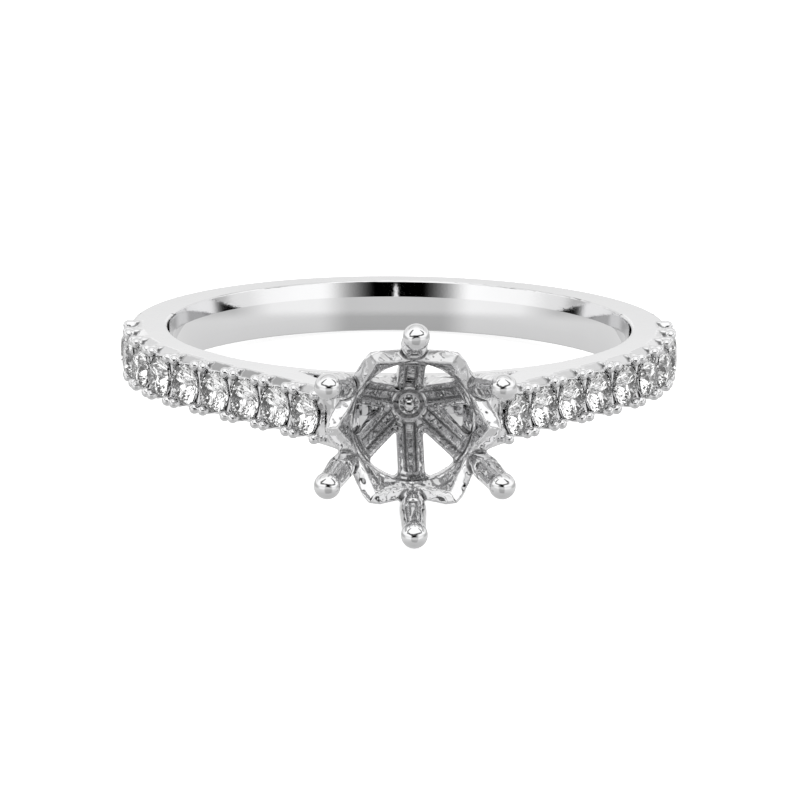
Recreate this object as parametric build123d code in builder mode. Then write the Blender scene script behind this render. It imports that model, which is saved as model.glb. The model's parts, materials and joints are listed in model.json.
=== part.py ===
from build123d import *
import os
from math import asin, atan2, cos, degrees, hypot, radians, sin, sqrt, tan

# Six-prong engagement ring with pave shoulders, lying on its side. Lengths in mm, angles in degrees.
# Everything but the last step is drawn in the ring's own frame: the finger axis is Z, the head
# points along +Y, and the centre of the finger hole is the origin.

# Shank
finger_radius = 8.45
band_width = 1.94
back_wall = 1.17
shoulder_wall = 1.45
finger_ease_width = 0.6
finger_ease_depth = 0.1
finger_edge_round = 0.06
outer_edge_round = 0.16

# Cathedral shoulders, given by how they leave the shank and where they reach the head
leave_angle = 50.0
straight_length = 4.6
joint_outside_seat = 0.63
joint_above_rail_bottom = 0.25
bridge_wall = 0.65
opening_tip_angle = 25.5
opening_top_outside_seat = 0.33
opening_top_below_rail = 1.3
shoulder_end_inside_seat = 0.32

# Pave stones, numbered from the head
stones_per_side = 9
stone_diameter = 1.5
stone_gap = 0.145
first_stone_gap = 1.03
stone_rise = 0.08
stone_clearance = 0.025
table_share = 0.56
girdle_thickness = 0.045
main_facet_count = 8
girdle_facet_count = 16
crown_angle = 34.5
pavilion_angle = 40.8
star_angle = 22.0
upper_girdle_angle = 40.7
lower_girdle_angle = 41.9
pocket_lip_share = 0.82
pocket_lip_height_share = 0.75
pocket_throat_share = 0.6

# Beads, scallops and saw cuts that hold and frame the stones
bead_diameter = 0.4
bead_from_gap_middle = 0.2225
bead_from_band_edge = 0.18
end_bead_sink = 0.14
scallop_spacing = 0.545
scallop_depth = 0.5
scallop_reach = 0.31
saw_top_width = 0.2
saw_bottom_width = 0.04
saw_depth = 0.52

# Head
prong_count = 6
tip_above_rail = 1.11
tip_outside_rail = 0.395
tip_diameter = 0.96
prong_diameter = 0.96
prong_neck_diameter = 0.82
prong_root_diameter = 0.5
prong_root_inside_seat = 0.32
prong_root_below_rail = 2.0
prong_groove_width = 0.34
prong_groove_depth = 0.12
seat_radius = 2.12
rail_above_finger_hole = 3.85
rail_depth = 1.35
dip_above_rail_bottom = 0.3
rail_peak_wall = 1.0
rail_valley_wall = 0.83
rail_top_wall = 0.26
ledge_above_rail_bottom = 0.2
ledge_width = 0.09
dip_overlap = 0.1
head_overlap = 0.2
cup_sink = 0.2
cup_bottom_radius = 1.15
cup_top_wall = 0.18
cup_floor_radius = 0.35
cup_floor_thickness = 0.2
rib_width = 0.96
rib_groove_width = 0.42
rib_groove_depth = 0.1
window_round = 0.14
boss_diameter = 0.92
boss_above_floor = 0.1

# Sections of the rail: height and width as shares of the rail's own sizes
rail_sections = [
    # height_share, width_share
    (0.00, 0.88),
    (0.75, 1.00),
    (1.00, 0.97),
]

# Radii and heights that follow the finger hole, measured from its centre
back_radius = finger_radius + back_wall
shoulder_radius = finger_radius + shoulder_wall
bridge_radius = finger_radius + bridge_wall
cup_bottom_height = bridge_radius - cup_sink
cup_floor_height = cup_bottom_height + cup_floor_thickness
boss_height = cup_floor_height + boss_above_floor
rail_bottom_height = finger_radius + rail_above_finger_hole

# Heights that follow the rail
opening_top_height = rail_bottom_height - opening_top_below_rail
joint_height = rail_bottom_height + joint_above_rail_bottom
rail_top_height = rail_bottom_height + rail_depth
rail_ridge_height = rail_bottom_height + rail_sections[1][0] * rail_depth
rail_dip_height = rail_bottom_height + dip_above_rail_bottom
ledge_height = rail_bottom_height + ledge_above_rail_bottom
tip_height = rail_top_height + tip_above_rail
prong_root_height = rail_bottom_height - prong_root_below_rail

# Radii of the head that follow the seat of the main stone
joint_radius = seat_radius + joint_outside_seat
opening_top_radius = seat_radius + opening_top_outside_seat
shoulder_end_radius = seat_radius - shoulder_end_inside_seat
rail_peak_radius = seat_radius + rail_peak_wall
rail_valley_radius = seat_radius + rail_valley_wall
tip_radius = rail_peak_radius + tip_outside_rail
prong_root_radius = seat_radius - prong_root_inside_seat
cup_top_radius = seat_radius + cup_top_wall

# Spacing of the stones and of what holds them
half_width = band_width / 2
stone_radius = stone_diameter / 2
stone_pitch = stone_diameter + stone_gap
first_stone_from_head = first_stone_gap + stone_radius
bead_from_stone = stone_pitch / 2 - bead_from_gap_middle
bead_from_middle = half_width - bead_from_band_edge
scallop_width = stone_pitch - scallop_spacing
scallop_inside = half_width - scallop_reach


def rail_outline(width_share):
    """Corners of the twelve-sided rail, out at the peaks and in at the prongs."""
    corners = []
    for index in range(2 * prong_count):
        radius = rail_peak_radius if index % 2 == 0 else rail_valley_radius
        angle = radians(180 / prong_count * index)
        corners.append((radius * width_share * cos(angle), radius * width_share * sin(angle)))
    return corners


# Outline of the shank and shoulders, seen along the finger axis with the head up
eased_radius = finger_radius + finger_ease_depth
side_centre = (shoulder_radius - back_radius) / (2 - sqrt(2))
side_radius = shoulder_radius - side_centre
rear_radius = back_radius + side_centre
leave_direction = Vector(-cos(radians(leave_angle)), sin(radians(leave_angle)))
leave_point = Vector(
    shoulder_radius * sin(radians(leave_angle)), shoulder_radius * cos(radians(leave_angle))
)
straight_end = leave_point + leave_direction * straight_length

with BuildLine() as shoulder_line:
    CenterArc((side_centre, 0), side_radius, -45, 45)
    CenterArc((0, 0), shoulder_radius, 0, 90 - leave_angle)
    Line(leave_point, straight_end)
    TangentArc(straight_end, (joint_radius, joint_height), tangent=leave_direction)

shoulder_path = shoulder_line.wires()[0]
path_from_head = shoulder_path.position_at(0).Y < shoulder_path.position_at(1).Y


def path_plane(distance, side, rise):
    """Plane on one shoulder, this far down from the head, its Z pointing out of the metal."""
    share = distance / shoulder_path.length
    share = 1 - share if path_from_head else share
    point = shoulder_path.position_at(share)
    tangent = shoulder_path.tangent_at(share)
    outward = Vector(tangent.Y, -tangent.X)
    if outward.dot(point) < 0:
        outward = -outward
    origin = point + outward * rise
    return Plane(
        origin=(side * origin.X, origin.Y, 0),
        x_dir=(0, 0, 1),
        z_dir=(side * outward.X, outward.Y, 0),
    )


stone_planes = {}
bead_planes = []
saw_planes = []
for side, name in ((-1, "left"), (1, "right")):
    for number in range(stones_per_side):
        distance = first_stone_from_head + number * stone_pitch
        outer_sink = end_bead_sink if number == stones_per_side - 1 else 0
        stone_planes[f"stone_{name}_{number + 1}"] = path_plane(distance, side, stone_rise)
        bead_planes.append(path_plane(distance - bead_from_stone, side, stone_rise))
        bead_planes.append(path_plane(distance + bead_from_stone, side, stone_rise - outer_sink))
        if number > 0:
            saw_planes.append(path_plane(distance - stone_pitch / 2, side, stone_rise))

# Shank, shoulders and bridge
opening_tip = Vector(
    bridge_radius * sin(radians(opening_tip_angle)), bridge_radius * cos(radians(opening_tip_angle))
)
with BuildPart() as shank:
    with BuildSketch() as shank_outline:
        with BuildLine():
            add(shoulder_line.line)
            Line((joint_radius, joint_height), (0, joint_height))
            CenterArc((0, side_centre), rear_radius, 270, 45)
            mirror(about=Plane.YZ)
        make_face()
    extrude(amount=half_width, both=True)
    outer_edges = shank.edges().filter_by(GeomType.LINE, reverse=True)
    fillet(outer_edges, outer_edge_round)
    with BuildSketch(Plane.XZ):
        with BuildLine():
            Polyline(
                (0, -band_width),
                (eased_radius, -band_width),
                (eased_radius, -half_width),
                (finger_radius, finger_ease_width - half_width),
                (finger_radius, half_width - finger_ease_width),
                (eased_radius, half_width),
                (eased_radius, band_width),
                (0, band_width),
                close=True,
            )
        make_face()
    revolve(axis=Axis.Z, mode=Mode.SUBTRACT)
    bore_edges = shank.edges().filter_by(GeomType.CIRCLE)
    bore_edges = bore_edges.filter_by(lambda edge: abs(edge.radius - eased_radius) < 0.001)
    fillet(bore_edges, finger_edge_round)
    with BuildSketch(Plane.XY.offset(-band_width)):
        with BuildLine():
            Polyline(
                (0, bridge_radius / 2),
                (opening_tip.X, opening_tip.Y),
                (opening_top_radius, opening_top_height),
                (shoulder_end_radius, opening_top_height),
                (seat_radius + head_overlap, joint_height),
                (seat_radius + head_overlap, tip_height),
                (0, tip_height),
            )
            mirror(about=Plane.YZ)
        make_face()
        Circle(bridge_radius, mode=Mode.SUBTRACT)
    extrude(amount=2 * band_width, mode=Mode.SUBTRACT)

# Tools for one stone place, its Z pointing out of the metal and its X along the finger axis
crown_height = stone_radius * (1 - table_share) * tan(radians(crown_angle))
pocket_radius = stone_radius + stone_clearance
pocket_lip_radius = stone_radius * pocket_lip_share
pocket_throat_radius = stone_radius * pocket_throat_share
with BuildPart() as pocket:
    with BuildSketch(Plane.XZ):
        with BuildLine():
            Polyline(
                (0, -girdle_thickness - pocket_radius),
                (pocket_radius, -girdle_thickness),
                (pocket_radius, girdle_thickness),
                (pocket_lip_radius, crown_height * pocket_lip_height_share),
                (pocket_throat_radius, crown_height + girdle_thickness),
                (pocket_throat_radius, crown_height + bead_diameter),
                (0, crown_height + bead_diameter),
                close=True,
            )
        make_face()
    revolve(axis=Axis.Z)

with BuildPart() as scallops:
    with BuildSketch(Plane.XZ):
        Polygon(
            (scallop_inside, bead_diameter),
            (scallop_inside, 0),
            (half_width, -scallop_depth),
            (band_width, -scallop_depth),
            (band_width, bead_diameter),
            align=None,
        )
    extrude(amount=scallop_width / 2, both=True)
    mirror(about=Plane.YZ)

with BuildPart() as bead_pair:
    with Locations((bead_from_middle, 0, 0), (-bead_from_middle, 0, 0)):
        Sphere(bead_diameter / 2)

with BuildPart() as saw_cut:
    with BuildSketch(Plane.YZ):
        Polygon(
            (saw_bottom_width / 2, -saw_depth),
            (saw_top_width / 2, bead_diameter),
            (-saw_top_width / 2, bead_diameter),
            (-saw_bottom_width / 2, -saw_depth),
            align=None,
        )
    extrude(amount=band_width, both=True)

# Head, drawn with its own axis as Z and the finger axis as Y
sector = 360 / prong_count
sector_reach = 2 * rail_peak_radius
with BuildPart() as cup_window:
    with BuildSketch(Plane.XY.offset(cup_bottom_height - band_width)) as window_outline:
        with BuildLine():
            Polyline(
                (sector_reach * cos(radians(sector / 2)), sector_reach * sin(radians(sector / 2))),
                (0, 0),
                (sector_reach * cos(radians(sector / 2)), -sector_reach * sin(radians(sector / 2))),
                close=True,
            )
        make_face()
        offset(amount=-rib_width / 2, kind=Kind.INTERSECTION)
        Circle(seat_radius, mode=Mode.INTERSECT)
        fillet(window_outline.vertices().sort_by(Axis.X)[1:], window_round)
    extrude(amount=ledge_height - cup_bottom_height + band_width)

rib_slope = atan2(seat_radius - cup_floor_radius, rail_bottom_height - cup_floor_height)
rib_length = hypot(seat_radius - cup_floor_radius, rail_bottom_height - cup_floor_height)
with BuildPart() as rib_groove:
    with BuildSketch(Plane.XY.offset(rib_width / 2)):
        Rectangle(2 * rib_groove_depth, rib_groove_width)
    extrude(amount=rib_length - rib_width)

with BuildPart() as rail_dip:
    with BuildSketch(Plane.YZ):
        Polygon(
            (0, rail_dip_height),
            (rail_peak_radius * sin(radians(sector / 2)) + dip_overlap, rail_top_height),
            (0, 2 * rail_top_height - rail_dip_height),
            (-rail_peak_radius * sin(radians(sector / 2)) - dip_overlap, rail_top_height),
            align=None,
        )
    extrude(amount=2 * rail_peak_radius)

with BuildPart() as rail:
    for height_share, width_share in rail_sections:
        with BuildSketch(Plane.XY.offset(rail_bottom_height + height_share * rail_depth)):
            Polygon(*rail_outline(width_share), align=None)
    loft(ruled=True)
    with PolarLocations(0, prong_count, start_angle=sector / 2):
        add(rail_dip.part, mode=Mode.SUBTRACT)

top_share = rail_sections[-1][1] - rail_top_wall / rail_peak_radius
with BuildPart() as rail_mouth:
    with BuildSketch(Plane.XY.offset(ledge_height)):
        RegularPolygon(seat_radius + ledge_width, 2 * prong_count)
    with BuildSketch(Plane.XY.offset(rail_top_height)):
        Polygon(*rail_outline(top_share), align=None)
    loft(ruled=True)
    with BuildSketch(Plane.XY.offset(rail_bottom_height)):
        Circle(seat_radius)
    extrude(amount=rail_depth)

prong_lean = atan2(tip_radius - prong_root_radius, tip_height - prong_root_height)
prong_length = hypot(tip_radius - prong_root_radius, tip_height - prong_root_height)
ridge_length = (rail_ridge_height - prong_root_height) / cos(prong_lean)
with BuildPart() as prong:
    with BuildSketch(Plane.XZ):
        with BuildLine():
            Polyline(
                (0, 0),
                (prong_root_diameter / 2, 0),
                (prong_diameter / 2, ridge_length),
                (prong_neck_diameter / 2, prong_length),
                (0, prong_length),
                close=True,
            )
        make_face()
    revolve(axis=Axis.Z)
    with BuildSketch(Plane.XY.offset(ridge_length)):
        with Locations((-prong_diameter / 2, 0)):
            Rectangle(2 * prong_groove_depth, prong_groove_width)
    extrude(amount=prong_length - ridge_length, mode=Mode.SUBTRACT)
    with Locations((0, 0, prong_length)):
        Sphere(tip_diameter / 2)


def slanted_plane(angle, radius, height, lean):
    """Plane whose Z leans outwards from the head's axis in this direction."""
    toward = Vector(cos(radians(angle)), sin(radians(angle)), 0)
    return Plane(
        origin=toward * radius + Vector(0, 0, height),
        x_dir=toward * cos(lean) - Vector(0, 0, sin(lean)),
        z_dir=toward * sin(lean) + Vector(0, 0, cos(lean)),
    )


prong_angles = [sector / 2 + sector * index for index in range(prong_count)]
prong_planes = [
    slanted_plane(angle, prong_root_radius, prong_root_height, prong_lean) for angle in prong_angles
]
rib_planes = [
    slanted_plane(angle, cup_floor_radius, cup_floor_height, rib_slope) for angle in prong_angles
]
with BuildPart() as head:
    with BuildSketch(Plane.XZ):
        with BuildLine():
            Polyline(
                (0, cup_bottom_height),
                (cup_bottom_radius, cup_bottom_height),
                (cup_top_radius, rail_bottom_height),
                (seat_radius, rail_bottom_height),
                (cup_floor_radius, cup_floor_height),
                (0, cup_floor_height),
                close=True,
            )
        make_face()
    revolve(axis=Axis.Z)
    add(rail.part)
    add(rail_mouth.part, mode=Mode.SUBTRACT)
    with PolarLocations(0, prong_count):
        add(cup_window.part, mode=Mode.SUBTRACT)
    with Locations(*rib_planes):
        add(rib_groove.part, mode=Mode.SUBTRACT)
    with Locations((0, 0, boss_height)):
        Sphere(boss_diameter / 2)
    with Locations(*prong_planes):
        add(prong.part)

# Round brilliant, its girdle on the XY plane and its table up
table_height = girdle_thickness / 2 + crown_height
table_reach = stone_radius * table_share * cos(radians(180 / main_facet_count))
girdle_reach = stone_radius * cos(radians(180 / girdle_facet_count))
facet_tiers = [
    # count, turned, slope, reach, level, up
    (main_facet_count, False, crown_angle, stone_radius, girdle_thickness / 2, 1),
    (main_facet_count, True, star_angle, table_reach, table_height, 1),
    (girdle_facet_count, True, upper_girdle_angle, girdle_reach, girdle_thickness / 2, 1),
    (main_facet_count, False, pavilion_angle, stone_radius, -girdle_thickness / 2, -1),
    (girdle_facet_count, True, lower_girdle_angle, girdle_reach, -girdle_thickness / 2, -1),
]
with BuildPart() as brilliant:
    with BuildSketch(Plane.XY.offset(-stone_radius)):
        RegularPolygon(stone_radius, girdle_facet_count)
    extrude(amount=stone_radius + table_height)
    for count, turned, slope, reach, level, up in facet_tiers:
        for index in range(count):
            azimuth = radians(360 / count * (index + (0.5 if turned else 0)))
            facet = Plane(
                origin=(reach * cos(azimuth), reach * sin(azimuth), level),
                z_dir=(
                    sin(radians(slope)) * cos(azimuth),
                    sin(radians(slope)) * sin(azimuth),
                    up * cos(radians(slope)),
                ),
            )
            split(bisect_by=facet, keep=Keep.BOTTOM)

# The metal: shoulders cut and beaded for the stones, the head soldered on, then the stone pockets
head_plane = Plane(origin=(0, 0, 0), x_dir=(1, 0, 0), z_dir=(0, 1, 0))
with BuildPart() as metal:
    add(shank.part)
    with Locations(*stone_planes.values()):
        add(scallops.part, mode=Mode.SUBTRACT)
    with Locations(*saw_planes):
        add(saw_cut.part, mode=Mode.SUBTRACT)
    with Locations(*bead_planes):
        add(bead_pair.part)
    with Locations(head_plane):
        add(head.part)
    with Locations(*stone_planes.values()):
        add(pocket.part, mode=Mode.SUBTRACT)

# Resting place: the ring lies on its lowest prong tip and on the edge at the back of the shank
edge_round_centre = Vector(back_radius - outer_edge_round, half_width - outer_edge_round)
tip_to_edge = Vector(tip_height + edge_round_centre.X, tip_radius - edge_round_centre.Y)
rest_tilt = atan2(tip_to_edge.Y, tip_to_edge.X)
rest_tilt += asin((tip_diameter / 2 - outer_edge_round) / tip_to_edge.length)
rest_height = (
    tip_radius * cos(rest_tilt) - tip_height * sin(rest_tilt) + tip_diameter / 2
)
laid_down = Location((0, 0, rest_height), (180 - degrees(rest_tilt), 0, 0))
with BuildPart() as lying:
    with Locations(laid_down):
        add(metal.part)
lying_box = lying.part.bounding_box()
resting = Location((0, -(lying_box.min.Y + lying_box.max.Y) / 2, 0)) * laid_down

os.makedirs("parts", exist_ok=True)
with BuildPart() as ring_metal:
    with Locations(resting):
        add(metal.part)
ring_metal.part.label = "ring_metal"
export_step(ring_metal.part, "parts/ring_metal.step")

for name, stone_plane in stone_planes.items():
    with BuildPart() as stone:
        with Locations(resting * stone_plane.location):
            add(brilliant.part)
    stone.part.label = name
    export_step(stone.part, f"parts/{name}.step")
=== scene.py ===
import json
import math

import bpy
from bpy.props import FloatProperty, FloatVectorProperty, PointerProperty
from mathutils import Matrix, Vector

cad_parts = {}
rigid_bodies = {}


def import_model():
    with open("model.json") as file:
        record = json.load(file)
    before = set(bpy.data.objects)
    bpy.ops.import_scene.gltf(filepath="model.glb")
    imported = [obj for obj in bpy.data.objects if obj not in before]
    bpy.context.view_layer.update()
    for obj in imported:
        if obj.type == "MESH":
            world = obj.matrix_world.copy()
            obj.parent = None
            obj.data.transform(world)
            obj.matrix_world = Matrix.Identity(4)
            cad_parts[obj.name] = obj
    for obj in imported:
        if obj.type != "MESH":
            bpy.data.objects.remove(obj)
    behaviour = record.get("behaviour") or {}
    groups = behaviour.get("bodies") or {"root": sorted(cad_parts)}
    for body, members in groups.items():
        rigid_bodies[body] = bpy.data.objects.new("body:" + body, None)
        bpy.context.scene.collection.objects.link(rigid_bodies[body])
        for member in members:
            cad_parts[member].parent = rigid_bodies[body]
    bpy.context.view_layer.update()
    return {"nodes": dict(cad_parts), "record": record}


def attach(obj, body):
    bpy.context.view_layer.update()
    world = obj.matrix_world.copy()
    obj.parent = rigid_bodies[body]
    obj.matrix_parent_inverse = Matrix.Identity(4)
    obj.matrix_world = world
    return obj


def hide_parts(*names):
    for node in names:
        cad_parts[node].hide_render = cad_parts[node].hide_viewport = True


bl_info = {
    "name": "Pave engagement ring",
    "version": (1, 0, 0),
    "blender": (4, 5, 0),
    "location": "3D View > Sidebar > Ring",
    "description": "Finishes a six-prong ring setting with pave shoulders on a photo table",
    "category": "Object",
}

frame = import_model()

MM = 0.001
BLACK = (0, 0, 0, 1)
WHITE = (1, 1, 1, 1)
IMAGE_WIDTH = 799
IMAGE_HEIGHT = 800
SENSOR = 36.0

FINGER_HOLE = next(m for m in frame["record"]["mounts"] if m["name"] == "finger_hole")
RING_CENTRE = Vector(FINGER_HOLE["pos_m"])
FINGER_AXIS = Vector(FINGER_HOLE["axis"]).normalized()
REST_TILT = math.atan2(FINGER_AXIS.y, FINGER_AXIS.z)
SIDEWAYS = Vector((1, 0, 0))
HEADWARD = FINGER_AXIS.cross(SIDEWAYS) * -1
STONES = [node for name, node in frame["nodes"].items() if name.startswith("stone_")]

# Casting: how closely it is merged and cut, what is added to it, and how it is rounded off
MERGED_BELOW = 0.0002 * MM
CUT_WITHIN = 0.0001 * MM
OVERLAP = 0.8 * MM
PRONGS = 6
SEGMENTS_OF_TIP = 48
SEGMENTS_OF_BEAD = 24
ROUNDS_OF_POLISHING = 5
SMOOTHED_BELOW = math.radians(35)

# Creases, which the metal's painted shade darkens: the attribute that holds them, its value on a flat
# face, and the angles, in degrees, of the deepest crease and the sharpest edge
CREASE = "crease"
FLAT = 0.5
DEEPEST_CREASE = 85
SHARPEST_EDGE = 95

# Stones: the share of the greatest distance that a point of the rim or of the girdle has at least
NEARLY_FURTHEST = 0.97
NEARLY_WIDEST = 0.99

# Wall of the finger hole: how far out it reaches, the top of its straight part, the width of the
# change to the eased part above, and how far its two parts lean from upright
WALL_REACH = (FINGER_HOLE["dims"]["r_mm"] + 0.15) * MM
WALL_TOP = FINGER_HOLE["dims"]["length_mm"] / 2 * MM
WALL_STEP = 0.05 * MM
WALL_CHANGE = 0.08 * MM
WALL_FACING = -0.95
UPPER_LEAN = 0.164
LOWER_LEAN = 0.15 / MM

# Flat sides of the band: between which distances from its middle they lie, and how they face
SIDE_LOW = 0.95 * MM
SIDE_HIGH = 0.985 * MM
SIDE_FACING = 0.995

# Polished metal: patterns by their scale, reliefs by their depth, and the painted shade in the creases
CLOUD_SCALE = 900.0
HAIRLINE_SCALE = 9000.0
RIPPLE_SCALE = 1900.0
HAIRLINE_DEPTH = 0.002 * MM
HAIRLINE_STRENGTH = 0.25
RIPPLE_DEPTH = 0.05 * MM
RAIL_RIPPLES = 1.2
WORN_SHARE = 0.96
CLOUDED_POLISH = 0.03
# Painted shade in the creases: its near-black colour, how much of the metal's own tone is left at each
# crease value, and how much less of it the head gets below the rail
PAINTED_CREASE_SHADE = (0.02, 0.02, 0.022, 1)
CREASE_TONES = ((0, 0.12), (0.2, 0.55), (0.38, 0.97), (0.5, 1.0))
LESS_SHADE_ON_HEAD = 0.2
HEAD_BOTTOM = (8.6 * MM, 9.2 * MM)
HEAD_SIDE = (3.0 * MM, 3.3 * MM)
RAIL_ZONE = (12.2 * MM, 13.6 * MM, 0.2 * MM)

# Light tent by elevation and by turn from the front, in degrees, with the light that comes from there
TENT_BELOW = ((-90, 0.45), (-45, 0.5), (-20, 0.62), (-9, 0.7))
TENT_ABOVE = ((0, 0.68), (4.5, 0.75), (7, 0.9), (12, 0.96), (90, 1.0))
TENT_BEHIND = (
    (0, 0.65),
    (4, 0.68),
    (5.5, 0.85),
    (7, 0.85),
    (14, 0.66),
    (30, 0.74),
    (36, 0.35),
    (42, 0.74),
    (55, 0.66),
    (75, 0.9),
)
TENT_RING = ((0, 0.9), (65, 0.82), (90, 0.46), (120, 0.42), (150, 0.52), (180, 0.68))
TENT_SIDES = (95, 125)
RING_HEIGHTS = (-12, 1, 5)
HORIZON = (0, 2.5)
# Darker places: turn, half width, lowest and highest elevation, softness, and the share of light left
DARK_PLACES = (
    (0, 22, -45, 22, 18, 0.62),
    (-2, 12, 6, 22, 26, 0.0),
    (0, 70, 21, 28, 5, 0.12),
    (75, 4, 30, 65, 6, 0.1),
    (-75, 4, 30, 65, 6, 0.1),
)
DARK_EDGE = 3

# Glints: the light inside the stones is stronger, and broken up by dark spots
GLINT_SCALE = 6.0
GLINT_EDGE = (0.4, 0.42)
GLINT_SHADE = 0.65
GLINT_LIGHT = 0.45

# Photo table
TABLE_SIZE = 2.0
TABLE_ROUGHNESS = 0.9
TABLE_GLOW = 0.62

# Camera: where it stands, seen from the middle of the ring, and where the ring lies in its picture
CAMERA_ELEVATION = math.radians(11.603)
CAMERA_AZIMUTH = math.radians(-2.308)
CAMERA_ROLL = math.radians(0.55)
CAMERA_DISTANCE = 250.0
PIXELS_PER_MM = 27.142
RING_IN_PICTURE = (399.03, 350.8)
NEAREST = 0.01


class Value:
    """A shader socket that can be used in arithmetic."""

    def __init__(self, nodes, socket):
        self.nodes = nodes
        self.socket = socket

    def math(self, operation, *others):
        inputs = {0: self}
        for place, other in enumerate(others, 1):
            inputs[place] = other
        return self.nodes.add("ShaderNodeMath", {"operation": operation}, inputs)

    def __add__(self, other):
        return self.math("ADD", other)

    __radd__ = __add__

    def __mul__(self, other):
        return self.math("MULTIPLY", other)

    __rmul__ = __mul__

    def __sub__(self, other):
        return self.math("SUBTRACT", other)

    def __rsub__(self, other):
        return self.nodes.add("ShaderNodeMath", {"operation": "SUBTRACT"}, {0: other, 1: self})

    def __neg__(self):
        return self * -1.0

    def rise(self, low, high):
        """0 below the low value and 1 above the high one, with a soft step between."""
        return self.nodes.add(
            "ShaderNodeMapRange",
            {"interpolation_type": "SMOOTHSTEP"},
            {"Value": self, "From Min": low, "From Max": high},
        )

    def band(self, low, high, soft):
        """1 between two values, fading to 0 outside them."""
        return self.rise(low - soft, low) * (1.0 - self.rise(high, high + soft))

    def table(self, low, high, stops):
        """Grey read from a table of value and grey."""
        places = [((value - low) / (high - low), grey) for value, grey in stops]
        share = (self - low) * (1 / (high - low))
        return self.nodes.add("ShaderNodeValToRGB", {"stops": places}, {"Fac": share})


class Nodes:
    """The node tree of a material or world, with one method that adds any node."""

    def __init__(self, tree):
        self.tree = tree
        tree.nodes.clear()

    def add(self, kind, settings=None, inputs=None, output=0):
        node = self.tree.nodes.new(kind)
        for name, value in (settings or {}).items():
            if name == "stops":
                self.set_stops(node.color_ramp, value)
            else:
                setattr(node, name, value)
        for name, value in (inputs or {}).items():
            socket = node.inputs[name]
            if isinstance(value, Value):
                self.tree.links.new(value.socket, socket)
            else:
                socket.default_value = value
        return Value(self, node.outputs[output]) if node.outputs else node

    def mix(self, factor, first, second):
        """Colour that goes from the first to the second as the factor goes from 0 to 1."""
        return self.add(
            "ShaderNodeMix", {"data_type": "RGBA"}, {0: factor, 6: first, 7: second}, output=2
        )

    @staticmethod
    def set_stops(ramp, stops):
        while len(ramp.elements) < len(stops):
            ramp.elements.new(1.0)
        for element, (position, grey) in zip(ramp.elements, stops):
            element.position = position
            element.color = (grey, grey, grey, 1)


def new_material(name):
    material = bpy.data.materials.new(name)
    material.use_nodes = True
    return material, Nodes(material.node_tree)


def finish_with(nodes, shader):
    nodes.add("ShaderNodeOutputMaterial", {}, {"Surface": shader})


def give_material(piece, material):
    piece.data.materials.clear()
    piece.data.materials.append(material)


def ring_point(across, along, height):
    """Point of the scene from its place in the ring: to the right, down the finger, towards the head."""
    return RING_CENTRE + SIDEWAYS * across + FINGER_AXIS * along + HEADWARD * height


def pick(piece):
    bpy.ops.object.select_all(action="DESELECT")
    piece.select_set(True)
    bpy.context.view_layer.objects.active = piece


def copy_mesh(source, name):
    """Unparented copy of a piece, its own mesh in place."""
    piece = bpy.data.objects.new(name, source.data.copy())
    bpy.context.scene.collection.objects.link(piece)
    pick(piece)
    return piece


def edit(piece):
    pick(piece)
    bpy.ops.object.mode_set(mode="EDIT")
    bpy.ops.mesh.select_all(action="SELECT")


def end_edit():
    bpy.ops.object.mode_set(mode="OBJECT")


def merged_copy(name):
    """Copy of the casting with its loose triangles joined."""
    piece = copy_mesh(frame["nodes"]["ring_metal"], name)
    bpy.ops.mesh.customdata_custom_splitnormals_clear()
    edit(piece)
    bpy.ops.mesh.remove_doubles(threshold=MERGED_BELOW)
    end_edit()
    return piece


def cut_away(piece, point, direction, closed=False):
    """Cut the piece at a plane and drop what lies on the side that the direction points to."""
    edit(piece)
    bpy.ops.mesh.bisect(
        plane_co=point,
        plane_no=direction,
        clear_outer=True,
        use_fill=closed,
        threshold=CUT_WITHIN,
    )
    end_edit()


def apply_modifier(piece, kind, **settings):
    pick(piece)
    modifier = piece.modifiers.new(kind.title(), kind)
    for name, value in settings.items():
        setattr(modifier, name, value)
    bpy.ops.object.modifier_apply(modifier=modifier.name)


def drop_pores(piece):
    """Drop closed pores inside the piece: all that isn't joined to its highest point."""
    edit(piece)
    bpy.ops.mesh.select_all(action="DESELECT")
    end_edit()
    top = max(piece.data.vertices, key=lambda vertex: vertex.co.dot(HEADWARD))
    top.select = True
    bpy.ops.object.mode_set(mode="EDIT")
    bpy.ops.mesh.select_linked()
    bpy.ops.mesh.select_all(action="INVERT")
    bpy.ops.mesh.delete(type="VERT")
    end_edit()


def tone_creases(piece, deepest, sharpest):
    """Store how far each point lies in a crease or on an edge, for the painted shade in the creases: 0.5
    where the surface is flat.
    """
    pick(piece)
    bpy.ops.geometry.color_attribute_add(name=CREASE, domain="CORNER", color=WHITE)
    bpy.ops.object.mode_set(mode="VERTEX_PAINT")
    bpy.ops.paint.vertex_color_dirt(
        blur_strength=0.5,
        blur_iterations=1,
        clean_angle=math.radians(sharpest),
        dirt_angle=math.radians(deepest),
        normalize=False,
    )
    bpy.ops.object.mode_set(mode="OBJECT")


def take_shading(piece, source):
    """Shade a cut piece as the whole that it was cut from, so that no seam shows."""
    apply_modifier(
        piece,
        "DATA_TRANSFER",
        object=source,
        use_loop_data=True,
        data_types_loops={"CUSTOM_NORMAL"},
        loop_mapping="POLYINTERP_NEAREST",
    )


def drop(piece):
    mesh = piece.data
    bpy.data.objects.remove(piece)
    bpy.data.meshes.remove(mesh)


def add_ball(centre, radius, segments):
    bpy.ops.mesh.primitive_uv_sphere_add(
        segments=segments, ring_count=segments // 2, radius=radius, location=centre
    )
    return bpy.context.object


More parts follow.
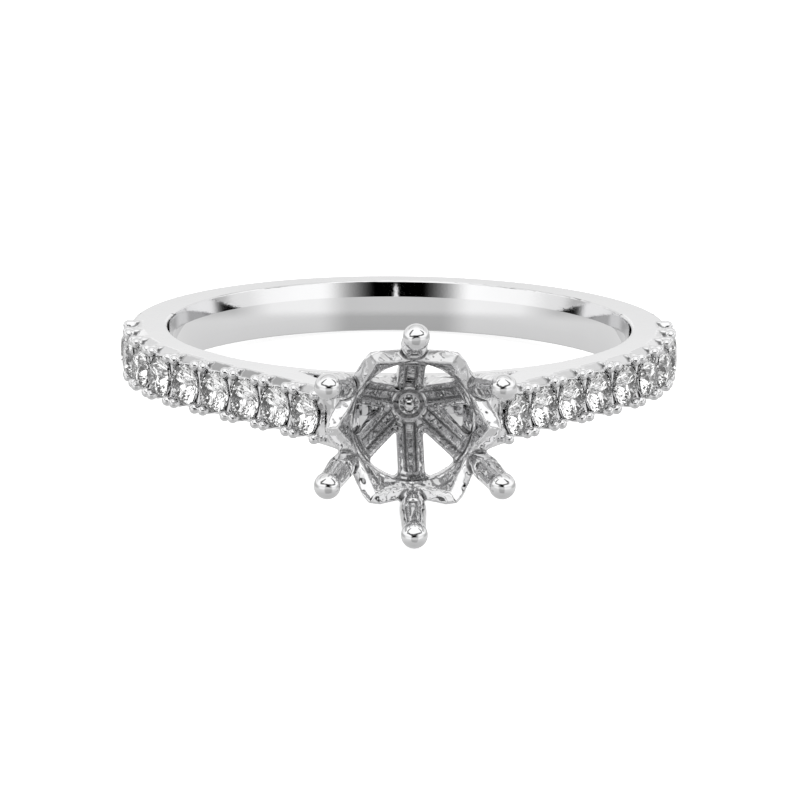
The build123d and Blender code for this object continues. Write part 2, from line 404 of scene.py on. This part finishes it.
def stone_frame(stone):
    """Centre of a stone's girdle, the way its table faces, and its radius."""
    points = [vertex.co.copy() for vertex in stone.data.vertices]
    middle = sum(points, Vector()) / len(points)
    outward = (middle - RING_CENTRE).normalized()
    culet = min(points, key=lambda point: point.dot(outward))
    far = max((point - culet).length for point in points)
    rim = [point for point in points if (point - culet).length > far * NEARLY_FURTHEST]
    table = sum(rim, Vector()) / len(rim)
    facing = (table - culet).normalized()
    reach = {}
    for point in points:
        reach[tuple(point)] = ((point - culet) - facing * (point - culet).dot(facing)).length
    radius = max(reach.values())
    girdle = [Vector(point) for point, out in reach.items() if out > radius * NEARLY_WIDEST]
    return sum(girdle, Vector()) / len(girdle), facing, radius


class MetalSettings(bpy.types.PropertyGroup):
    tint: FloatVectorProperty(
        name="Tint",
        description="Colour of the rhodium-plated white gold",
        subtype="COLOR",
        size=3,
        min=0,
        max=1,
        default=(0.8, 0.8, 0.805),
    )
    polish: FloatProperty(
        name="Polish",
        description="Roughness of the polished metal",
        min=0,
        max=1,
        default=0.045,
    )


class CastingSettings(bpy.types.PropertyGroup):
    grain: FloatProperty(
        name="Grain",
        description="Size of the finest detail that the polished casting keeps",
        subtype="DISTANCE",
        unit="LENGTH",
        default=0.044 * MM,
    )
    back_height: FloatProperty(
        name="Back",
        description="Where the plain back of the shank begins, from the middle towards the head",
        subtype="DISTANCE",
        unit="LENGTH",
        default=-2.1 * MM,
    )
    shoulder_reach: FloatProperty(
        name="Shoulder",
        description="How far from the middle the head ends and the shoulder begins",
        subtype="DISTANCE",
        unit="LENGTH",
        default=3.55 * MM,
    )
    rail_height: FloatProperty(
        name="Rail",
        description="Where the cup ends and the rail begins, towards the head",
        subtype="DISTANCE",
        unit="LENGTH",
        default=12.1 * MM,
    )
    tip_height: FloatProperty(
        name="Tip height",
        description="Height of the prong tips from the middle of the ring",
        subtype="DISTANCE",
        unit="LENGTH",
        default=14.76 * MM,
    )
    tip_circle: FloatProperty(
        name="Tip circle",
        description="Radius of the circle on which the prong tips stand",
        subtype="DISTANCE",
        unit="LENGTH",
        default=3.515 * MM,
    )
    tip_radius: FloatProperty(
        name="Tip radius",
        description="Radius of a prong tip",
        subtype="DISTANCE",
        unit="LENGTH",
        default=0.48 * MM,
    )
    boss_height: FloatProperty(
        name="Boss height",
        description="Height of the boss in the middle of the cup",
        subtype="DISTANCE",
        unit="LENGTH",
        default=9.2 * MM,
    )
    boss_radius: FloatProperty(
        name="Boss radius",
        description="Radius of the boss in the middle of the cup",
        subtype="DISTANCE",
        unit="LENGTH",
        default=0.46 * MM,
    )
    bead_radius: FloatProperty(
        name="Bead radius",
        description="Radius of the beads that hold the pave stones",
        subtype="DISTANCE",
        unit="LENGTH",
        default=0.2 * MM,
    )
    bead_along: FloatProperty(
        name="Bead along",
        description="Distance of a bead from its stone's middle, along the row",
        subtype="DISTANCE",
        unit="LENGTH",
        default=0.6 * MM,
    )
    bead_across: FloatProperty(
        name="Bead across",
        description="Distance of a bead from the middle of the band",
        subtype="DISTANCE",
        unit="LENGTH",
        default=0.79 * MM,
    )


class StoneSettings(bpy.types.PropertyGroup):
    tint: FloatVectorProperty(
        name="Tint",
        description="Body colour of the stones",
        subtype="COLOR",
        size=3,
        min=0,
        max=1,
        default=(1.0, 1.0, 1.0),
    )
    index: FloatProperty(
        name="Refraction",
        description="Index of refraction of the stones",
        min=1,
        max=3,
        default=2.417,
    )


class StageSettings(bpy.types.PropertyGroup):
    floor_grey: FloatProperty(
        name="Floor",
        description="Lightness of the photo table",
        subtype="FACTOR",
        min=0,
        max=1,
        default=0.9,
    )
    light: FloatProperty(
        name="Light",
        description="Strength of the light tent",
        min=0,
        default=1.3,
    )


class RING_OT_cast_metal(bpy.types.Operator):
    """Round off the casting as polishing does, and part it into head, shoulders and shank"""

    bl_idname = "ring.cast_metal"
    bl_label = "Cast the metal"

    def execute(self, context):
        settings = context.scene.ring_casting
        back = ring_point(0, 0, settings.back_height)
        shank = merged_copy("shank_back")
        cut_away(shank, back, HEADWARD)
        bpy.ops.object.shade_smooth_by_angle(angle=SMOOTHED_BELOW)
        apply_modifier(shank, "WEIGHTED_NORMAL", keep_sharp=True, weight=100)
        self.shade_wrought_faces(shank)
        # The plain back of the shank counts as flat throughout, so it gets no painted crease shade
        flat = (FLAT, FLAT, FLAT, 1)
        bpy.ops.geometry.color_attribute_add(name=CREASE, domain="CORNER", color=flat)
        front = self.cast_front(settings)
        cut_away(front, back, -HEADWARD)
        rail = ring_point(0, 0, settings.rail_height)
        head = copy_mesh(front, "head")
        for side in (-1, 1):
            end = ring_point(side * settings.shoulder_reach, 0, 0)
            cut_away(head, end, SIDEWAYS * side)
            shoulder = copy_mesh(front, "shoulder_left" if side < 0 else "shoulder_right")
            cut_away(shoulder, end, SIDEWAYS * -side)
            take_shading(shoulder, front)
            self.seat(shoulder)
        crown = copy_mesh(head, "prongs_and_rail")
        cut_away(crown, rail, -HEADWARD)
        head.name = "cup"
        cut_away(head, rail, HEADWARD)
        take_shading(head, front)
        take_shading(crown, front)
        drop(front)
        for piece in (shank, head, crown):
            self.seat(piece)
        return {"FINISHED"}

    @staticmethod
    def shade_wrought_faces(piece):
        """Shade the wall of the finger hole round and the sides of the band flat, as they are."""
        mesh = piece.data
        normals = [corner.vector.copy() for corner in mesh.corner_normals]
        for face in mesh.polygons:
            centre = face.center - RING_CENTRE
            level = centre.dot(FINGER_AXIS)
            tilt = face.normal.dot(FINGER_AXIS)
            if SIDE_LOW < abs(level) < SIDE_HIGH and abs(tilt) > SIDE_FACING:
                for corner in face.loop_indices:
                    normals[corner] = FINGER_AXIS * math.copysign(1, tilt)
                continue
            outward = centre - FINGER_AXIS * level
            facing = face.normal.dot(outward.normalized())
            if outward.length > WALL_REACH or facing > WALL_FACING:
                continue
            for corner in face.loop_indices:
                offset = mesh.vertices[mesh.loops[corner].vertex_index].co - RING_CENTRE
                along = offset.dot(FINGER_AXIS)
                inward = (FINGER_AXIS * along - offset).normalized()
                above = along - WALL_TOP + max(-WALL_STEP, min(WALL_STEP, level - along))
                eased = max(0.0, min(1.0, above / WALL_CHANGE + 0.5))
                lean = (1 - eased) * above * LOWER_LEAN + eased * UPPER_LEAN
                normals[corner] = inward * math.sqrt(1 - lean * lean) + FINGER_AXIS * lean
        mesh.normals_split_custom_set(normals)

    @staticmethod
    def seat(piece):
        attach(piece, "root")
        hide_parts("ring_metal")

    def cast_front(self, settings):
        """Head and shoulders in one, with full round tips and beads, softened all over."""
        front = merged_copy("front")
        spare = ring_point(0, 0, settings.back_height - OVERLAP)
        cut_away(front, spare, -HEADWARD, closed=True)
        bpy.ops.object.select_all(action="DESELECT")
        balls = [self.add_tip(settings, index) for index in range(PRONGS)]
        boss = ring_point(0, 0, settings.boss_height)
        balls.append(add_ball(boss, settings.boss_radius, SEGMENTS_OF_TIP))
        for stone in STONES:
            balls.extend(self.add_beads(settings, stone))
        for ball in balls:
            ball.select_set(True)
        front.select_set(True)
        bpy.context.view_layer.objects.active = front
        bpy.ops.object.join()
        apply_modifier(
            front, "REMESH", mode="VOXEL", voxel_size=settings.grain, adaptivity=0.0
        )
        apply_modifier(front, "SMOOTH", factor=0.5, iterations=ROUNDS_OF_POLISHING)
        drop_pores(front)
        bpy.ops.object.shade_smooth()
        tone_creases(front, DEEPEST_CREASE, SHARPEST_EDGE)
        self.shade_wrought_faces(front)
        return front

    @staticmethod
    def add_tip(settings, index):
        angle = math.radians(360 / PRONGS * (index + 0.5))
        across = settings.tip_circle * math.cos(angle)
        along = settings.tip_circle * math.sin(angle)
        centre = ring_point(across, along, settings.tip_height)
        return add_ball(centre, settings.tip_radius, SEGMENTS_OF_TIP)

    @staticmethod
    def add_beads(settings, stone):
        centre, facing, _ = stone_frame(stone)
        row = facing.cross(FINGER_AXIS)
        beads = []
        for across in (-settings.bead_across, settings.bead_across):
            for along in (-settings.bead_along, settings.bead_along):
                place = centre + FINGER_AXIS * across + row * along
                beads.append(add_ball(place, settings.bead_radius, SEGMENTS_OF_BEAD))
        return beads


class RING_OT_finish_metal(bpy.types.Operator):
    """Give the casting its polished white gold"""

    bl_idname = "ring.finish_metal"
    bl_label = "Finish the metal"

    def execute(self, context):
        settings = context.scene.ring_metal
        material, nodes = new_material("polished_white_gold")
        place = nodes.add("ShaderNodeTexCoord", output="Object")
        clouds = nodes.add(
            "ShaderNodeTexNoise", {}, {"Vector": place, "Scale": CLOUD_SCALE, "Detail": 3.0}
        )
        hairlines = nodes.add(
            "ShaderNodeTexNoise", {}, {"Vector": place, "Scale": HAIRLINE_SCALE, "Detail": 2.0}
        )
        height = nodes.add(
            "ShaderNodeVectorMath",
            {"operation": "DOT_PRODUCT"},
            {0: place, 1: HEADWARD},
            output="Value",
        )
        height = height - RING_CENTRE.dot(HEADWARD)
        aside = nodes.add("ShaderNodeSeparateXYZ", {}, {"Vector": place}).math("ABSOLUTE")
        on_head = height.rise(*HEAD_BOTTOM) * (1.0 - aside.rise(*HEAD_SIDE))
        on_rail = height.band(*RAIL_ZONE)
        # Painted shade: the metal's colour is darkened towards near-black in its creases, less so on the
        # head below the rail
        crease = nodes.add("ShaderNodeVertexColor", {"layer_name": CREASE})
        unshaded = crease.table(0, 1, CREASE_TONES)
        unshaded = unshaded + (1.0 - unshaded) * on_head * (1.0 - on_rail) * LESS_SHADE_ON_HEAD
        worn = tuple(share * WORN_SHARE for share in settings.tint)
        tone = nodes.mix(clouds, (*worn, 1), (*settings.tint, 1))
        tone = nodes.mix(unshaded, PAINTED_CREASE_SHADE, tone)
        relief = nodes.add(
            "ShaderNodeBump",
            {},
            {
                "Strength": HAIRLINE_STRENGTH,
                "Distance": HAIRLINE_DEPTH,
                "Height": clouds + hairlines,
            },
        )
        ripples = nodes.add(
            "ShaderNodeTexNoise", {}, {"Vector": place, "Scale": RIPPLE_SCALE, "Detail": 1.0}
        )
        relief = nodes.add(
            "ShaderNodeBump",
            {},
            {
                "Strength": 1.0,
                "Distance": RIPPLE_DEPTH,
                "Height": ripples * on_head * (on_rail * RAIL_RIPPLES + 1.0),
                "Normal": relief,
            },
        )
        shader = nodes.add(
            "ShaderNodeBsdfPrincipled",
            {},
            {
                "Base Color": tone,
                "Metallic": 1.0,
                "Roughness": clouds * CLOUDED_POLISH + (settings.polish - CLOUDED_POLISH / 2),
                "Normal": relief,
            },
        )
        finish_with(nodes, shader)
        for name in METAL_PIECES:
            give_material(bpy.data.objects[name], material)
        return {"FINISHED"}


class RING_OT_finish_stones(bpy.types.Operator):
    """Give the eighteen pave stones their clear diamond"""

    bl_idname = "ring.finish_stones"
    bl_label = "Finish the stones"

    def execute(self, context):
        settings = context.scene.ring_stones
        material, nodes = new_material("clear_diamond")
        shader = nodes.add(
            "ShaderNodeBsdfPrincipled",
            {},
            {
                "Base Color": (*settings.tint, 1),
                "Roughness": 0.0,
                "IOR": settings.index,
                "Transmission Weight": 1.0,
            },
        )
        finish_with(nodes, shader)
        for stone in STONES:
            give_material(stone, material)
        return {"FINISHED"}


class RING_OT_build_stage(bpy.types.Operator):
    """Add the photo table, the light tent and the camera"""

    bl_idname = "ring.build_stage"
    bl_label = "Build the stage"

    def execute(self, context):
        settings = context.scene.ring_stage
        self.build_floor(settings)
        self.build_world(context.scene, settings)
        self.build_camera(context.scene)
        context.scene.view_settings.view_transform = "Standard"
        return {"FINISHED"}

    def build_floor(self, settings):
        bpy.ops.object.select_all(action="DESELECT")
        bpy.ops.mesh.primitive_plane_add(size=TABLE_SIZE)
        floor = bpy.context.object
        floor.name = "photo_table"
        material, nodes = new_material("photo_table")
        grey = settings.floor_grey
        shader = nodes.add(
            "ShaderNodeBsdfPrincipled",
            {},
            {
                "Base Color": (grey, grey, grey, 1),
                "Roughness": TABLE_ROUGHNESS,
                "Emission Color": WHITE,
                "Emission Strength": TABLE_GLOW,
            },
        )
        finish_with(nodes, shader)
        give_material(floor, material)
        floor.visible_glossy = False
        floor.visible_transmission = False

    def build_world(self, scene, settings):
        """Light tent: white above, grey round the table, and dark where the photographer stands."""
        world = bpy.data.worlds.new("light_tent")
        world.use_nodes = True
        scene.world = world
        nodes = Nodes(world.node_tree)
        ray = nodes.add("ShaderNodeTexCoord", output="Generated")
        across = nodes.add("ShaderNodeSeparateXYZ", {}, {"Vector": ray})
        depth = Value(nodes, across.socket.node.outputs["Y"])
        height = Value(nodes, across.socket.node.outputs["Z"])
        elevation = height.math("ARCSINE").math("DEGREES")
        azimuth = across.math("ARCTAN2", -depth).math("DEGREES")
        turn = azimuth.math("ABSOLUTE")
        low = elevation.table(-90, 0, TENT_BELOW)
        ring = turn.table(0, 180, TENT_RING)
        front = elevation.table(0, 90, TENT_ABOVE)
        behind = elevation.table(0, 90, TENT_BEHIND)
        upper = nodes.mix(turn.rise(*TENT_SIDES), front, behind)
        around = nodes.mix(elevation.band(*RING_HEIGHTS), low, ring)
        tent = nodes.mix(elevation.rise(*HORIZON), around, upper)
        for centre, reach, bottom, top, soft, left in DARK_PLACES:
            away = (azimuth - centre).math("ABSOLUTE").rise(reach, reach + soft)
            shade = (1.0 - away) * elevation.band(bottom, top, DARK_EDGE) * (1.0 - left)
            tent = nodes.mix(shade, tent, BLACK)
        through = nodes.add("ShaderNodeLightPath", output="Is Transmission Ray")
        glints = nodes.add(
            "ShaderNodeTexNoise", {}, {"Vector": ray, "Scale": GLINT_SCALE, "Detail": 0.0}
        )
        spots = through * (1.0 - glints.rise(*GLINT_EDGE)) * GLINT_SHADE
        tent = nodes.mix(spots, tent, BLACK)
        seen = nodes.add("ShaderNodeLightPath", output="Is Camera Ray")
        backdrop = nodes.mix(seen, tent, WHITE)
        strength = through * (settings.light * GLINT_LIGHT) + settings.light
        shader = nodes.add(
            "ShaderNodeBackground", {}, {"Color": backdrop, "Strength": strength}
        )
        nodes.add("ShaderNodeOutputWorld", {}, {"Surface": shader})

    def build_camera(self, scene):
        elevation, azimuth, roll = CAMERA_ELEVATION, CAMERA_AZIMUTH, CAMERA_ROLL
        focal = PIXELS_PER_MM * CAMERA_DISTANCE
        back = Vector(
            (
                math.sin(azimuth) * math.cos(elevation),
                -math.cos(azimuth) * math.cos(elevation),
                math.sin(elevation),
            )
        )
        right = Vector((math.cos(azimuth), math.sin(azimuth), 0))
        up = back.cross(right)
        right, up = (
            right * math.cos(roll) + up * math.sin(roll),
            up * math.cos(roll) - right * math.sin(roll),
        )
        shift_x = IMAGE_WIDTH / 2 - RING_IN_PICTURE[0]
        shift_y = IMAGE_HEIGHT / 2 - RING_IN_PICTURE[1]
        ray = (-back + right * (shift_x / focal) - up * (shift_y / focal)).normalized()
        turn = Matrix.Rotation(-REST_TILT, 3, "X")
        axis_z = -ray
        axis_x = (right - axis_z * right.dot(axis_z)).normalized()
        axis_y = axis_z.cross(axis_x)
        placed = Matrix((turn @ axis_x, turn @ axis_y, turn @ axis_z)).transposed().to_4x4()
        placed.translation = RING_CENTRE + turn @ (back * CAMERA_DISTANCE * MM)
        camera = bpy.data.objects.new("camera", bpy.data.cameras.new("camera"))
        scene.collection.objects.link(camera)
        camera.matrix_world = placed
        camera.data.sensor_width = SENSOR
        camera.data.lens = focal * SENSOR / IMAGE_HEIGHT
        camera.data.clip_start = NEAREST
        scene.camera = camera


class RING_PT_panel(bpy.types.Panel):
    """Sizes, colours and steps of the ring"""

    bl_idname = "RING_PT_panel"
    bl_label = "Ring"
    bl_space_type = "VIEW_3D"
    bl_region_type = "UI"
    bl_category = "Ring"

    def draw(self, context):
        scene = context.scene
        for group in SETTINGS:
            settings = getattr(scene, group)
            box = self.layout.box()
            for name in settings.__annotations__:
                box.prop(settings, name)
        for step in STEPS:
            self.layout.operator(step.bl_idname)


METAL_PIECES = ("shank_back", "shoulder_left", "shoulder_right", "cup", "prongs_and_rail")
STEPS = (RING_OT_cast_metal, RING_OT_finish_metal, RING_OT_finish_stones, RING_OT_build_stage)
SETTINGS = {
    "ring_casting": CastingSettings,
    "ring_metal": MetalSettings,
    "ring_stones": StoneSettings,
    "ring_stage": StageSettings,
}


def register():
    for name, group in SETTINGS.items():
        bpy.utils.register_class(group)
        setattr(bpy.types.Scene, name, PointerProperty(type=group))
    for step in STEPS:
        bpy.utils.register_class(step)
    bpy.utils.register_class(RING_PT_panel)


def unregister():
    bpy.utils.unregister_class(RING_PT_panel)
    for step in reversed(STEPS):
        bpy.utils.unregister_class(step)
    for name, group in SETTINGS.items():
        delattr(bpy.types.Scene, name)
        bpy.utils.unregister_class(group)


def main():
    register()
    bpy.ops.ring.cast_metal()
    bpy.ops.ring.finish_metal()
    bpy.ops.ring.finish_stones()
    bpy.ops.ring.build_stage()


if __name__ == "__main__":
    main()
